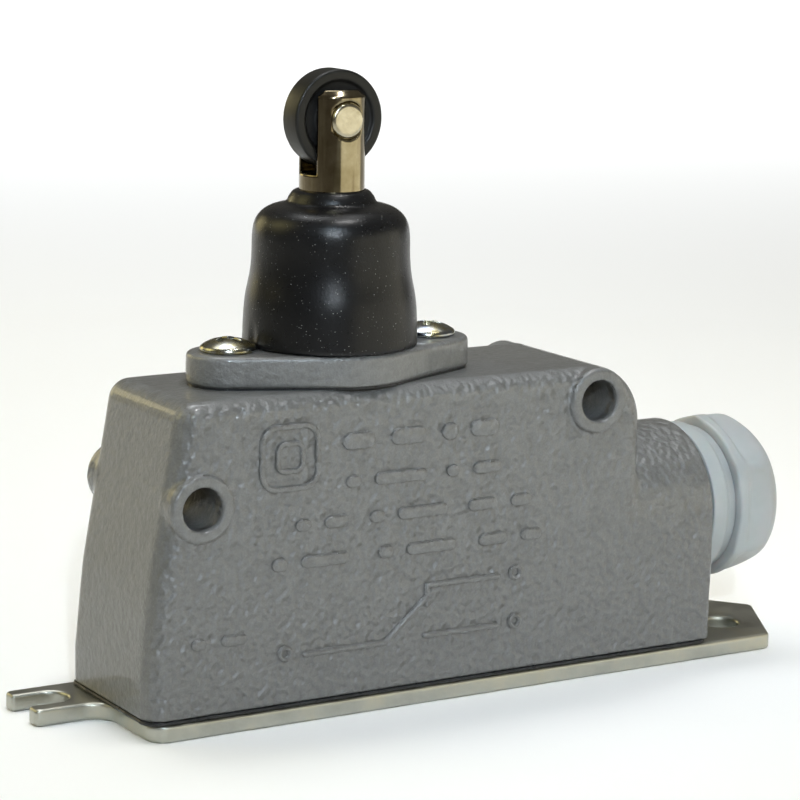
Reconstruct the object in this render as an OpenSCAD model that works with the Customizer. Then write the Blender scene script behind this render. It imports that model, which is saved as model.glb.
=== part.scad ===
// Roller plunger limit switch in a die-cast housing.
//
// A sealed position switch. A cam presses the roller, the plunger slides down
// through a guide bush in the head, and its foot presses the button of the
// changeover contact block inside the housing. A rubber boot seals the plunger,
// a cable gland seals the wiring entry and a gasketed steel base plate closes
// the housing and carries it on the machine.
//
// Frame: +X towards the cable gland, -Y is the front face, +Z up along the
// plunger. The origin is on the underside of the base plate, on the plunger's
// centre line. All sizes are in millimetres.

/* [Housing] */
// Left end of the housing at its foot, from the plunger axis
body_left = 37.4; // [30:0.1:45]
// Right end of the housing at its foot, from the plunger axis
body_right = 64.8; // [55:0.1:75]
// Right end of the tall part of the housing
tall_right = 50; // [44:0.1:55]
// Depth of the housing, front to back
body_w = 27.6; // [24:0.2:32]
// Height of the top face above the base plate's underside
body_top = 50.2; // [44:0.1:56]
// Height at which the left end starts to lean inwards
lean_start = 22; // [15:0.5:30]
// How far the left end leans in below that height
lean_low = 1.2; // [0:0.1:3]
// How much further the left end leans in by the top
lean_in = 5; // [0:0.1:8]
// Radius of the top left corner
corner_l = 2.8; // [1:0.1:6]
// Radius of the top right corner
corner_r = 9.4; // [6:0.1:14]
// Radius of the long top edges
edge_r = 2.6; // [1:0.1:5]
// Radius of the upright corners
upright_r = 3; // [1:0.1:4]
// Wall thickness
wall = 2.6; // [2:0.1:4]

/* [Body mounting holes] */
// Radius of the holes through the body, for M6 screws
hole_r = 3.3; // [2.7:0.05:4.3]
// Outside radius of the bosses around them
hole_boss_r = 5.2; // [4.5:0.1:7]
// Length of the bosses, front to back
hole_boss_len = 29.4; // [28:0.1:33]
// Left hole, along X
hole1_x = -29.1; // [-32:0.1:-20]
// Left hole, height
hole1_z = 34.8; // [25:0.1:40]
// Right hole, along X
hole2_x = 40.7; // [30:0.1:44]
// Right hole, height
hole2_z = 45.1; // [35:0.1:46]

/* [Base plate] */
// Thickness of the steel base plate
plate_t = 2.7; // [1.5:0.1:4]
// Thickness of the base gasket
gasket_t = 0.6; // [0.4:0.1:2]
// Width of the open slot in the left tongue
slot_w = 6; // [5:0.1:8]
// Radius of the round hole in the right end
plate_hole_r = 3.3; // [2.7:0.05:4.5]
// Round hole, along X
plate_hole_x = 73.8; // [70:0.1:78]
// Round hole, along Y
plate_hole_y = -4.2; // [-8:0.1:4]

/* [Head] */
// Thickness of the head flange
flange_t = 4.7; // [3:0.1:8]
// Radius of the flange around the boot
flange_mid_r = 13.4; // [12:0.1:16]
// Radius of the flange's end lobes
flange_lobe_r = 6.3; // [5:0.1:9]
// Distance of the head screws from the plunger axis
head_screw_x = 17.6; // [15:0.1:22]
// Thickness of the head gasket
head_gasket_t = 0.3; // [0.2:0.1:1]

/* [Plunger and roller] */
// Radius of the plunger
plunger_r = 5; // [4:0.1:7]
// Height of the top of the plunger's fork
fork_top = 94.1; // [88:0.1:100]
// Height of the roller's axis
roller_z = 89.6; // [84:0.1:94]
// Radius of the roller
roller_r = 7.5; // [6:0.1:10]
// Width of the roller
roller_w = 4.4; // [3:0.1:6]
// Width of the slot the roller turns in
fork_w = 5.2; // [4:0.1:7]
// Travel of the plunger
travel = 6; // [3:0.1:6]

/* [Cable gland] */
// Height of the gland's axis
gland_z = 23.8; // [20:0.1:28]
// Width across the flats of the gland nut
nut_af = 24; // [20:0.5:30]
// Radius of the cable bore in the rubber insert
cable_r = 5; // [3:0.1:6]

/* [Hidden] */
$fn = 64;
eps = 0.01;
foot_z = plate_t + gasket_t;
w2 = body_w / 2;
flange_z = body_top + head_gasket_t;
flange_top = flange_z + flange_t;
spigot_top = flange_top + 4;
slot_r = slot_w / 2;
slot_y = 8;
tongue_end = -48.4;
slot_x = -43.6;
fork_floor = roller_z - roller_r - 0.75;
lean_len = sqrt(lean_in * lean_in + (body_top - lean_start) * (body_top - lean_start));
lean_c = (body_top - lean_start) / lean_len;
lean_s = lean_in / lean_len;
lean_x = -body_left + lean_low + lean_in * (body_top - corner_l - lean_start) / (body_top - lean_start) + corner_l / lean_c;
base_screw_x = [-31, 59.4];
base_screw_y = 9;
nut_ac = nut_af / cos(30);
tab_y = -4.5;
// raised bars on the front face: left end, right end, height, width
relief_bars = [
    [-5.2, 0.2, 42.6, 2.6], [3.2, 9.2, 42.6, 2.6], [12.2, 14.6, 42.6, 2.6], [17.4, 22.4, 42.6, 2.6],
    [-4.6, -2.2, 36.4, 1.9], [0.4, 9.4, 36.4, 1.9], [13.2, 15.2, 36.4, 1.9], [18, 22.8, 36.4, 1.9],
    [-13.2, -10.8, 30.6, 1.9], [-8.2, -4.4, 30.6, 1.9], [-0.4, 2, 30.6, 1.9],
    [4.6, 13.2, 30.6, 1.9], [17.2, 22.2, 30.6, 1.9], [25, 28.6, 30.6, 1.9],
    [-17.2, -14.8, 24.9, 1.9], [-12.2, -4.2, 24.9, 1.9], [1.2, 3.6, 24.9, 1.9],
    [6.2, 14.8, 24.9, 1.9], [19.2, 24.2, 24.9, 1.9], [27, 30.6, 24.9, 1.9],
    [-30.4, -28.6, 14.4, 1.7], [-25.6, -21.6, 14.4, 1.7]
];

// Which part to show

// ---------------------------------------------------------------- helpers

module ycyl(r, len, x, z, y = 0) {
    translate([x, y, z]) rotate([90, 0, 0]) cylinder(r = r, h = len, center = true);
}

module xcyl(r, x0, x1, z = gland_z, y = 0) {
    translate([x0, y, z]) rotate([0, 90, 0]) cylinder(r = r, h = x1 - x0);
}

module zcyl(r, z0, z1, x = 0, y = 0) {
    translate([x, y, z0]) cylinder(r = r, h = z1 - z0);
}

module box(x0, x1, y0, y1, z0, z1) {
    translate([x0, y0, z0]) cube([x1 - x0, y1 - y0, z1 - z0]);
}

// A prism along Y with its outline given in X and Z.
module side_prism(pts, depth) {
    translate([0, depth / 2, 0]) rotate([90, 0, 0]) linear_extrude(height = depth) polygon(pts);
}

// A rounded plate standing on z0: straight sides and round upright corners.
module round_plate(x0, x1, y0, y1, r, z0, z1) {
    box(x0 + r, x1 - r, y0, y1, z0, z1);
    box(x0, x1, y0 + r, y1 - r, z0, z1);
    for (x = [x0 + r, x1 - r], y = [y0 + r, y1 - r]) zcyl(r, z0, z1, x, y);
}

// The flange outline: a round middle and two round lobes joined by tangents.
// The straight sides lie a hair inside the tangent lines.
module lozenge(mid_r, lobe_r, x, z0, z1) {
    s = (mid_r - lobe_r) / x;
    c = sqrt(1 - s * s);
    m = mid_r - 0.02;
    n = lobe_r - 0.02;
    zcyl(mid_r, z0, z1);
    for (sx = [-1, 1]) zcyl(lobe_r, z0, z1, sx * x);
    translate([0, 0, z0]) linear_extrude(height = z1 - z0) polygon([
        [-x - n * s, -n * c], [-m * s, -m * c], [m * s, -m * c], [x + n * s, -n * c],
        [x + n * s, n * c], [m * s, m * c], [-m * s, m * c], [-x - n * s, n * c]]);
}

// A screw along +Z with a slightly domed cross-recessed head whose seat is at z = 0.
module pan_screw(head_r, head_h, shank_r, len) {
    difference() {
        union() {
            rotate_extrude() polygon([
                [0, 0], [head_r, 0], [head_r, head_h * 0.45], [head_r * 0.93, head_h * 0.72],
                [head_r * 0.7, head_h * 0.92], [0, head_h]]);
            translate([0, 0, -len]) cylinder(r = shank_r, h = len + eps);
        }
        for (a = [0, 90]) rotate([0, 0, a])
            translate([-head_r * 0.55, -head_r * 0.12, head_h * 0.4]) cube([head_r * 1.1, head_r * 0.24, head_h]);
    }
}

// A square-cut compression spring wound about +Z, starting at z0.
module coil(mean_r, wire, z0, z1, turns) {
    translate([0, 0, z0 + wire / 2])
        linear_extrude(height = z1 - z0 - wire, twist = -360 * turns, slices = turns * 16, convexity = 10, $fn = 12)
            translate([mean_r, 0]) circle(r = wire / 2, $fn = 6);
    for (z = [z0, z1 - wire]) translate([0, 0, z]) difference() {
        cylinder(r = mean_r + wire / 2, h = wire);
        translate([0, 0, -1]) cylinder(r = mean_r - wire / 2, h = wire + 2);
    }
}

// ---------------------------------------------------------------- housing

module housing_side() {
    side_prism([
        [-body_left, foot_z], [-body_left + lean_low, lean_start],
        [lean_x - corner_l * lean_c, body_top - corner_l + corner_l * lean_s],
        [lean_x, body_top - corner_l], [lean_x, body_top],
        [tall_right - corner_r, body_top], [tall_right - corner_r, body_top - corner_r],
        [tall_right, body_top - corner_r], [tall_right, gland_z],
        [body_right, gland_z], [body_right, foot_z]], body_w);
    ycyl(corner_l, body_w, lean_x, body_top - corner_l);
    ycyl(corner_r, body_w, tall_right - corner_r, body_top - corner_r);
}

module housing_section() {
    box(-60, 80, -w2, w2, foot_z, body_top - edge_r);
    box(-60, 80, -w2 + edge_r, w2 - edge_r, foot_z, body_top);
    for (s = [-1, 1]) xcyl(edge_r, -60, 80, body_top - edge_r, s * (w2 - edge_r));
}

module housing_shell() {
    difference() {
        union() {
            intersection() {
                housing_side();
                housing_section();
                round_plate(-body_left, body_right, -w2, w2, upright_r, foot_z, body_top);
            }
            xcyl(14, 44, body_right, gland_z);
            // bosses stand proud of the front and back faces only
            for (s = [-1, 1]) {
                ycyl(hole_boss_r, 4, hole1_x, hole1_z, s * (hole_boss_len / 2 - 2));
                ycyl(hole_boss_r, 4, hole2_x, hole2_z, s * (hole_boss_len / 2 - 2));
            }
        }
        // inside of the tall part
        side_prism([
            [-body_left + wall, foot_z - 1], [-body_left + lean_low + wall, lean_start],
            [-body_left + lean_low + wall + lean_in * 0.9, body_top - wall],
            [tall_right - 9, body_top - wall], [tall_right - wall, body_top - 11],
            [tall_right - wall, foot_z - 1]], body_w - 2 * wall);
        // inside of the foot under the gland
        box(tall_right - wall - 1, body_right - wall, -w2 + wall, w2 - wall, foot_z - 1, gland_z - 12.6);
    }
}

module housing() color([0.47, 0.48, 0.48]) {
    difference() {
        union() {
            housing_shell();
            // tubes that carry the mounting holes through the inside
            ycyl(hole_boss_r - 0.7, body_w - 1, hole1_x, hole1_z);
            ycyl(hole_boss_r - 0.7, body_w - 1, hole2_x, hole2_z);
            // pillars for the base plate screws
            for (y = [-1, 1]) {
                zcyl(3.8, foot_z, 17, base_screw_x[0], y * base_screw_y);
                zcyl(3.4, foot_z, gland_z - 12, base_screw_x[1], y * base_screw_y);
            }
            // pillars for the head screws
            for (x = [-1, 1]) zcyl(4.4, 39, body_top - 1, x * head_screw_x);
            // seats for the contact block and the earth screw, on the back wall
            for (x = [-17, 17]) ycyl(3.2, 2, x, 28.5, w2 - wall - 0.5);
            ycyl(4.6, 4.4, 38, 20, w2 - wall - 1.9);
            // relief on the front face: changeover contact diagram
            for (q = [[-12, 10.4, 14.3], [9.4, 10.4, 13]]) box(q[0], q[0] + q[2], -w2 - 0.3, -w2 + 1, q[1], q[1] + 0.7);
            box(9.7, 22.5, -w2 - 0.3, -w2 + 1, 18.4, 19.1);
            box(9.4, 10.1, -w2 - 0.3, -w2 + 1, 15.6, 19.1);
            translate([2, 0, 10.4]) rotate([0, -41, 0]) translate([0, -w2 - 0.3, 0]) cube([10.6, 1.3, 0.7]);
            for (q = [[-15.6, 10.8], [26.6, 10.8], [26.6, 18.8]]) ycyl(1.1, 1.3, q[0], q[1], -w2 + 0.35);
            // blank rating bars and a blank badge
            for (q = relief_bars) box(q[0], q[1], -w2 - 0.3, -w2 + 1, q[2] - q[3] / 2, q[2] + q[3] / 2);
            for (q = [[-14.3, 41.1, 5.1, 0.9], [-14.3, 41.1, 2.5, 0.8]]) difference() {
                box(q[0] - q[2], q[0] + q[2], -w2 - 0.3, -w2 + 1, q[1] - q[2], q[1] + q[2]);
                box(q[0] - q[2] + q[3], q[0] + q[2] - q[3], -w2 - 1, -w2, q[1] - q[2] + q[3], q[1] + q[2] - q[3]);
            }
        }
        // mounting holes, front to back
        ycyl(hole_r, 40, hole1_x, hole1_z);
        ycyl(hole_r, 40, hole2_x, hole2_z);
        // opening for the guide bush and the plunger
        zcyl(8, 40, body_top + 1);
        // tapped holes
        for (x = [-1, 1]) zcyl(2.4, 41, body_top + 1, x * head_screw_x);
        for (x = base_screw_x, y = [-1, 1]) zcyl(1.9, foot_z - 1, foot_z + 6.5, x, y * base_screw_y);
        for (x = [-17, 17]) ycyl(1.45, 6, x, 28.5, 9.6);
        ycyl(1.9, 6, 38, 20, 9.6);
        // tapped gland entry
        xcyl(10.1, tall_right - wall - 1, body_right + 1);
    }
}

// ---------------------------------------------------------------- base

module plate_outline(z0, z1) {
    round_plate(-36.9, 66, -14, 14, 3, z0, z1);
    // right end, cut to a blunt point
    translate([0, 0, z0]) linear_extrude(height = z1 - z0)
        polygon([[60, -14], [76.2, -14], [77.7, -13], [85.4, 1.6], [85.5, 3.4], [77.8, 12.9], [75.8, 14], [60, 14]]);
    zcyl(1.6, z0, z1, 76.3, -12.4);
    zcyl(1.6, z0, z1, 84, 2.4);
    zcyl(1.6, z0, z1, 76.1, 12.4);
    // left tongue
    box(tongue_end + 0.8, -30, 2.1, 14, z0, z1);
    box(tongue_end, tongue_end + 1, 2.9, 13.2, z0, z1);
    for (y = [2.9, 13.2]) zcyl(0.8, z0, z1, tongue_end + 0.8, y);
    // curved shoulder where the tongue meets the full width
    difference() {
        box(-40.6, -35, -3, 5, z0, z1);
        zcyl(4.3, z0 - 1, z1 + 1, -41.2, -2.2);
        box(-42, -36.9, -6, -2.2, z0 - 1, z1 + 1);
    }
}

module base_plate() color([0.74, 0.73, 0.66]) difference() {
    plate_outline(0, plate_t);
    // open slot in the tongue
    box(tongue_end - 2, slot_x, slot_y - slot_r, slot_y + slot_r, -1, plate_t + 1);
    zcyl(slot_r, -1, plate_t + 1, slot_x, slot_y);
    // round hole in the right end
    zcyl(plate_hole_r, -1, plate_t + 1, plate_hole_x, plate_hole_y);
    // countersunk holes for the plate screws
    for (x = base_screw_x, y = [-1, 1]) translate([x, y * base_screw_y, 0]) {
        translate([0, 0, -1]) cylinder(r = 2.2, h = plate_t + 2);
        translate([0, 0, -eps]) cylinder(r1 = 4.1, r2 = 2.1, h = 2);
    }
}

module base_gasket() color([0.07, 0.07, 0.07]) difference() {
    round_plate(-body_left - 0.1, body_right + 0.1, -w2 - 0.15, w2 + 0.15, 3, plate_t, foot_z);
    difference() {
        round_plate(-32.8, 60.9, -w2 + 4, w2 - 4, 3, plate_t - 1, foot_z + 1);
        for (x = base_screw_x, y = [-1, 1]) zcyl(4.4, plate_t - 2, foot_z + 2, x, y * base_screw_y);
    }
    for (x = base_screw_x, y = [-1, 1]) zcyl(2.2, plate_t - 1, foot_z + 1, x, y * base_screw_y);
}

module base_screws() color([0.72, 0.72, 0.7])
    for (x = base_screw_x, y = [-1, 1]) translate([x, y * base_screw_y, 0.15]) difference() {
        union() {
            cylinder(r1 = 3.9, r2 = 1.8, h = 2.1);
            cylinder(r = 1.8, h = 8.6);
        }
        for (a = [0, 90]) rotate([0, 0, a]) translate([-2, -0.4, -1]) cube([4, 0.8, 2.1]);
    }

// ---------------------------------------------------------------- head

module head_gasket() color([0.06, 0.06, 0.06]) difference() {
    lozenge(flange_mid_r - 0.3, flange_lobe_r - 0.3, head_screw_x, body_top, flange_z);
    zcyl(8, body_top - 1, flange_z + 1);
    for (x = [-1, 1]) zcyl(2.6, body_top - 1, flange_z + 1, x * head_screw_x);
}

module head_flange() color([0.47, 0.48, 0.48]) difference() {
    union() {
        lozenge(flange_mid_r, flange_lobe_r, head_screw_x, flange_z, flange_top);
        // spigot with a groove for the bead of the boot
        rotate_extrude() polygon([
            [7, flange_top - 1], [11.2, flange_top - 1], [11.2, flange_top + 1.2], [10.6, flange_top + 1.7],
            [10.6, flange_top + 2.7], [11.2, flange_top + 3.2], [10.9, spigot_top], [7, spigot_top]]);
    }
    zcyl(7.05, flange_z - 1, spigot_top + 1);
    for (x = [-1, 1]) zcyl(2.6, flange_z - 1, flange_top + 1, x * head_screw_x);
}

module head_screws() color([0.76, 0.78, 0.78])
    for (x = [-1, 1]) translate([x * head_screw_x, 0, flange_top]) rotate([0, 0, 20]) pan_screw(4.25, 2.2, 2.3, 13);

module guide_bush() color([0.8, 0.66, 0.35]) difference() {
    union() {
        zcyl(7, 44.6, spigot_top + 0.5);
        zcyl(9.4, spigot_top, spigot_top + 1.3);
    }
    zcyl(plunger_r + 0.05, 40, 70);
}

// Bell-shaped rubber boot: a bead in the spigot groove, a wide skirt, a round
// shoulder and a short stepped neck that grips the plunger.
module boot() color([0.05, 0.05, 0.05]) rotate_extrude() polygon([
    // outside, from the foot up
    [13.3, flange_top + 0.05], [13.3, flange_top + 1], [13.3, flange_top + 4], [13.2, flange_top + 6],
    [12.95, flange_top + 8], [12.5, flange_top + 10.4], [12.25, flange_top + 12.1], [12.1, flange_top + 14.3],
    [12.03, flange_top + 17], [11.7, flange_top + 18.6], [11.2, flange_top + 19.6], [10.3, flange_top + 20.5],
    [9.3, flange_top + 21], [8, flange_top + 21.4], [7, flange_top + 21.7],
    [6.7, flange_top + 22.2], [6.3, flange_top + 22.75], [6, flange_top + 23.3], [5.1, flange_top + 23.66],
    // inside, from the neck down
    [5.06, flange_top + 21.3], [5.5, flange_top + 20.45], [7.8, flange_top + 19.98], [9.2, flange_top + 19],
    [10, flange_top + 17.6], [10.3, flange_top + 14.5], [10.6, flange_top + 11], [11.4, flange_top + 7],
    [11.4, flange_top + 3.3], [10.75, flange_top + 2.7], [10.75, flange_top + 1.8], [11.4, flange_top + 1.2],
    [11.4, flange_top + 0.05]]);

// ---------------------------------------------------------------- plunger

module plunger() color([0.8, 0.77, 0.66]) difference() {
    union() {
        zcyl(plunger_r, 40.3, fork_top - 1);
        translate([0, 0, fork_top - 1]) cylinder(r1 = plunger_r, r2 = plunger_r - 1, h = 1);
    }
    // slot for the roller
    box(-10, 10, -fork_w / 2, fork_w / 2, fork_floor, fork_top + 1);
    // hole for the roller pin
    ycyl(1.8, 20, 0, roller_z);
    // flat seats for the peened heads of the pin
    for (s = [-1, 1]) ycyl(2.95, 2, 0, roller_z, s * 5.25);
    // grooves for the spring seat and the stop clip
    for (z = [[flange_top + 19.1, 0.9], [43.4, 0.9]]) translate([0, 0, z[0]]) difference() {
        cylinder(r = plunger_r + 1, h = z[1]);
        translate([0, 0, -1]) cylinder(r = plunger_r - 0.8, h = z[1] + 2);
    }
}

module roller() color([0.05, 0.05, 0.05]) difference() {
    ycyl(roller_r, roller_w, 0, roller_z);
    ycyl(2.55, roller_w + 2, 0, roller_z);
    // shallow dish in each side
    for (s = [-1, 1]) difference() {
        ycyl(roller_r - 1.4, 1, 0, roller_z, s * (roller_w / 2));
        ycyl(3.6, 3, 0, roller_z, s * (roller_w / 2));
    }
}

module roller_bush() color([0.8, 0.66, 0.35]) difference() {
    ycyl(2.5, roller_w, 0, roller_z);
    ycyl(1.82, roller_w + 2, 0, roller_z);
}

module roller_pin() color([0.82, 0.78, 0.66]) {
    ycyl(1.75, 9, 0, roller_z);
    for (s = [-1, 1]) translate([0, s * 4.25, roller_z]) rotate([s > 0 ? -90 : 90, 0, 0])
        rotate_extrude() polygon([[0, 0], [2.64, 0], [2.64, 0.35], [2.5, 0.55], [2.2, 0.68], [0, 0.68]]);
}

module spring_seat() color([0.6, 0.6, 0.58]) difference() {
    zcyl(7.2, flange_top + 19.1, flange_top + 19.9);
    zcyl(plunger_r - 0.75, flange_top + 18, flange_top + 21);
}

module stop_clip() color([0.35, 0.35, 0.36]) difference() {
    zcyl(6.9, 43.5, 44.2);
    zcyl(plunger_r - 0.75, 43, 45);
    box(-3, 3, -9, -2, 43, 45);
}

module return_spring() color([0.6, 0.6, 0.62]) coil(6.9, 1.1, spigot_top + 1.3, flange_top + 19.05, 5.5);

// ---------------------------------------------------------------- cable gland

module gland_seal() color([0.07, 0.07, 0.07]) difference() {
    xcyl(12.2, body_right, body_right + 0.6);
    xcyl(10.15, body_right - 1, body_right + 2);
}

module gland_body() color([0.66, 0.7, 0.71]) difference() {
    union() {
        xcyl(10, body_right - 14, body_right + 1);
        xcyl(12.8, body_right + 0.6, body_right + 3.6);
        xcyl(12, body_right + 3.6, body_right + 5.4);
    }
    xcyl(6.5, body_right - 20, body_right + 20);
}

// Threaded sleeve the nut screws on to, with the rubber insert inside.
module gland_cage() color([0.66, 0.7, 0.71]) difference() {
    xcyl(9.8, body_right + 5.4, body_right + 12.2);
    xcyl(8.2, body_right + 4, body_right + 14);
}

module gland_insert() color([0.1, 0.1, 0.1]) difference() {
    xcyl(8.1, body_right + 5.4, body_right + 12.3);
    xcyl(6.4, body_right + 0.7, body_right + 5.5);
    xcyl(cable_r, body_right, body_right + 14);
}

module gland_nut() color([0.7, 0.73, 0.73]) difference() {
    intersection() {
        translate([body_right + 5.6, 0, gland_z]) rotate([0, 90, 0]) cylinder(r = nut_ac / 2, h = 9.4, $fn = 6);
        translate([body_right + 5.6, 0, gland_z]) rotate([0, 90, 0]) rotate_extrude()
            polygon([[0, 0], [12.9, 0], [13.7, 0.8], [13.7, 5.2], [12.7, 7.4], [11, 9], [9.8, 9.4], [0, 9.4]]);
    }
    xcyl(9.9, body_right + 5, body_right + 12.4);
    xcyl(6.6, body_right + 12, body_right + 20);
}

// ---------------------------------------------------------------- contact block

module contact_base() color([0.16, 0.12, 0.1]) difference() {
    box(-21, 21, -8.5, 9.6, 8, 32);
    // contact chamber, open to the front
    box(-13.5, 13.5, -9, 4.5, 11, 29);
    // guide for the button
    zcyl(2.56, 28, 33);
    // screw holes
    for (x = [-17, 17]) ycyl(1.7, 30, x, 28.5);
    // slots for the terminals
    box(13, 22, tab_y - 3.1, tab_y + 3.1, 23.4, 24.6);
    box(13, 22, tab_y - 3.1, tab_y + 3.1, 12.8, 14);
    box(-22, -13, tab_y - 3.1, tab_y + 3.1, 17.1, 18.3);
}

module contact_cover() color([0.2, 0.15, 0.12]) difference() {
    box(-21, 21, -9.7, -8.5, 8, 32);
    for (x = [-17, 17]) ycyl(1.7, 30, x, 28.5);
}

module contact_screws() color([0.75, 0.76, 0.74])
    for (x = [-17, 17]) translate([x, -9.7, 28.5]) rotate([90, 0, 0]) pan_screw(2.7, 1.2, 1.4, 21);

module button() color([0.75, 0.12, 0.1]) {
    zcyl(2.5, 22, 38.4);
    zcyl(3.9, 38.3, 40);
}

module button_spring() color([0.6, 0.6, 0.62]) coil(1.9, 0.6, 11, 22, 7);

module tab(x0, x1, z) box(x0, x1, tab_y - 3, tab_y + 3, z, z + 1);

module common_terminal() color([0.82, 0.66, 0.3]) difference() {
    union() {
        tab(-29, -9.6, 17.2);
        // ears that carry the blade's pivot
        for (y = [tab_y - 3, tab_y + 2.2]) box(-12.6, -10.4, y, y + 0.8, 18, 21.6);
        ycyl(0.6, 6, -11.5, 20.4, tab_y);
    }
    zcyl(1.9, 16, 19, -25, tab_y);
}

module nc_terminal() color([0.82, 0.66, 0.3]) difference() {
    tab(8.5, 30, 23.5);
    zcyl(1.9, 22, 26, 26, tab_y);
}

module no_terminal() color([0.82, 0.66, 0.3]) difference() {
    tab(8.5, 30, 12.9);
    zcyl(1.9, 12, 15, 26, tab_y);
}

module fixed_tips() color([0.85, 0.85, 0.84]) {
    zcyl(1.5, 22, 23.5, 11.5, tab_y);
    zcyl(1.5, 13.9, 16, 11.2, tab_y);
}

module blade() color([0.82, 0.6, 0.3]) difference() {
    union() {
        box(-11.5, 13, tab_y - 1.7, tab_y + 1.7, 20, 20.8);
        ycyl(1.25, 3.4, -11.5, 20.4, tab_y);
    }
    ycyl(0.66, 8, -11.5, 20.4, tab_y);
}

module blade_tips() color([0.85, 0.85, 0.84]) {
    zcyl(1.3, 20.8, 21.8, 11.5, tab_y);
    zcyl(1.3, 19, 20, 11.5, tab_y);
}

module at_tabs() {
    translate([26, tab_y, 24.5]) children();
    translate([26, tab_y, 13.9]) children();
    translate([-25, tab_y, 18.2]) children();
}

module terminal_clamps() color([0.72, 0.72, 0.7]) at_tabs() difference() {
    box(-3.4, 3.4, -2.9, 2.9, 0, 0.9);
    zcyl(1.9, -1, 2);
}

module terminal_screws() color([0.75, 0.76, 0.74]) at_tabs() translate([0, 0, 0.9]) pan_screw(2.9, 1.6, 1.75, 5);

module earth_washer() color([0.75, 0.7, 0.5]) difference() {
    ycyl(4.2, 1, 38, 20, 6.2);
    ycyl(2, 4, 38, 20, 6.2);
}

module earth_screw() color([0.8, 0.68, 0.35])
    translate([38, 5.7, 20]) rotate([90, 0, 0]) pan_screw(3.4, 2.2, 1.8, 6);

// ---------------------------------------------------------------- assembly

housing();
base_plate();
base_gasket();
base_screws();
head_gasket();
head_flange();
head_screws();
guide_bush();
boot();
plunger();
roller();
roller_bush();
roller_pin();
spring_seat();
stop_clip();
return_spring();
gland_seal();
gland_body();
gland_cage();
gland_insert();
gland_nut();
contact_base();
contact_cover();
contact_screws();
button();
button_spring();
common_terminal();
nc_terminal();
no_terminal();
fixed_tips();
blade();
blade_tips();
terminal_clamps();
terminal_screws();
earth_washer();
earth_screw();
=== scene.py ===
import math

import bmesh
import bpy
import numpy as np
from mathutils import Matrix, Vector


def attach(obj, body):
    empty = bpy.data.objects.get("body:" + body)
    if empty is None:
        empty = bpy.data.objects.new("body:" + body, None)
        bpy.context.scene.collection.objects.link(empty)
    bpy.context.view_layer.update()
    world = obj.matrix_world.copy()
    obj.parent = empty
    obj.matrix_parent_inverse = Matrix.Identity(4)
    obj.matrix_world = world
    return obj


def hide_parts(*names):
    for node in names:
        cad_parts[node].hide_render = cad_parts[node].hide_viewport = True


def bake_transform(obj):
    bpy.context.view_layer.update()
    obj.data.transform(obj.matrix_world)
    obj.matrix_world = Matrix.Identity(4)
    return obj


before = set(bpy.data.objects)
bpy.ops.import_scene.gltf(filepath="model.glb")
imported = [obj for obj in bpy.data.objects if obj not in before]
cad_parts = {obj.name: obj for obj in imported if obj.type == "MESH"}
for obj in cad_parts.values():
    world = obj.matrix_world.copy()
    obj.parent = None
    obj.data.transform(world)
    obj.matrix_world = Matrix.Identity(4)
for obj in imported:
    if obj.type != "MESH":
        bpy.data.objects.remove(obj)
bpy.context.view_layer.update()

MM = 0.001
scene = bpy.context.scene


# ---------------------------------------------------------------- camera
# The view of the photograph: position in millimetres, turned a little about
# its own axis.
def make_camera():
    data = bpy.data.cameras.new("camera")
    cam = bpy.data.objects.new("camera", data)
    scene.collection.objects.link(cam)
    az, el, roll = math.radians(31.25), math.radians(10.93), math.radians(1.02)
    back = Vector((-math.sin(az) * math.cos(el), -math.cos(az) * math.cos(el), math.sin(el)))
    right = Vector((0, 0, 1)).cross(back).normalized()
    up = back.cross(right)
    r2 = right * math.cos(roll) + up * math.sin(roll)
    u2 = up * math.cos(roll) - right * math.sin(roll)
    m = Matrix((r2, u2, back)).transposed().to_4x4()
    m.translation = Vector((-222.11, -387.13, 132.53)) * MM
    cam.matrix_world = m
    data.sensor_width = 36.0
    data.lens = 36.0 * 2951.98 / 800.0
    data.clip_start, data.clip_end = 0.01, 20.0
    scene.camera = cam


make_camera()


# ---------------------------------------------------------------- meshing
# Shapes are signed distance fields in millimetres, meshed by surface nets and
# then pulled exactly onto the field, so every edge carries its real radius.
def rmax(a, b, r):
    u, v = np.maximum(r + a, 0), np.maximum(r + b, 0)
    return np.minimum(-r, np.maximum(a, b)) + np.sqrt(u * u + v * v)


def rmin(a, b, r):
    u, v = np.maximum(r - a, 0), np.maximum(r - b, 0)
    return np.maximum(r, np.minimum(a, b)) - np.sqrt(u * u + v * v)


def smax(a, b, k):
    h = np.maximum(k - np.abs(a - b), 0) / k
    return np.maximum(a, b) + h * h * k * 0.25


def seg(lo, hi, v):
    return np.maximum(lo - v, v - hi)


def step01(v, a, b):
    t = np.clip((v - a) / (b - a), 0, 1)
    return t * t * (3 - 2 * t)


def cyl_z(x, y, z, r, z0, z1, k=0.0, cx=0.0, cy=0.0):
    d = np.hypot(x - cx, y - cy) - r
    return rmax(d, seg(z0, z1, z), k) if k else np.maximum(d, seg(z0, z1, z))


def cyl_y(x, y, z, r, y0, y1, cx, cz, k=0.0):
    d = np.hypot(x - cx, z - cz) - r
    return rmax(d, seg(y0, y1, y), k) if k else np.maximum(d, seg(y0, y1, y))


def cyl_x(x, y, z, r, x0, x1, cz, k=0.0, cy=0.0):
    d = np.hypot(y - cy, z - cz) - r
    return rmax(d, seg(x0, x1, x), k) if k else np.maximum(d, seg(x0, x1, x))


def box2(u, v, cu, cv, hu, hv, r):
    du, dv = np.abs(u - cu) - hu + r, np.abs(v - cv) - hv + r
    return np.hypot(np.maximum(du, 0), np.maximum(dv, 0)) + np.minimum(np.maximum(du, dv), 0) - r


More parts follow.
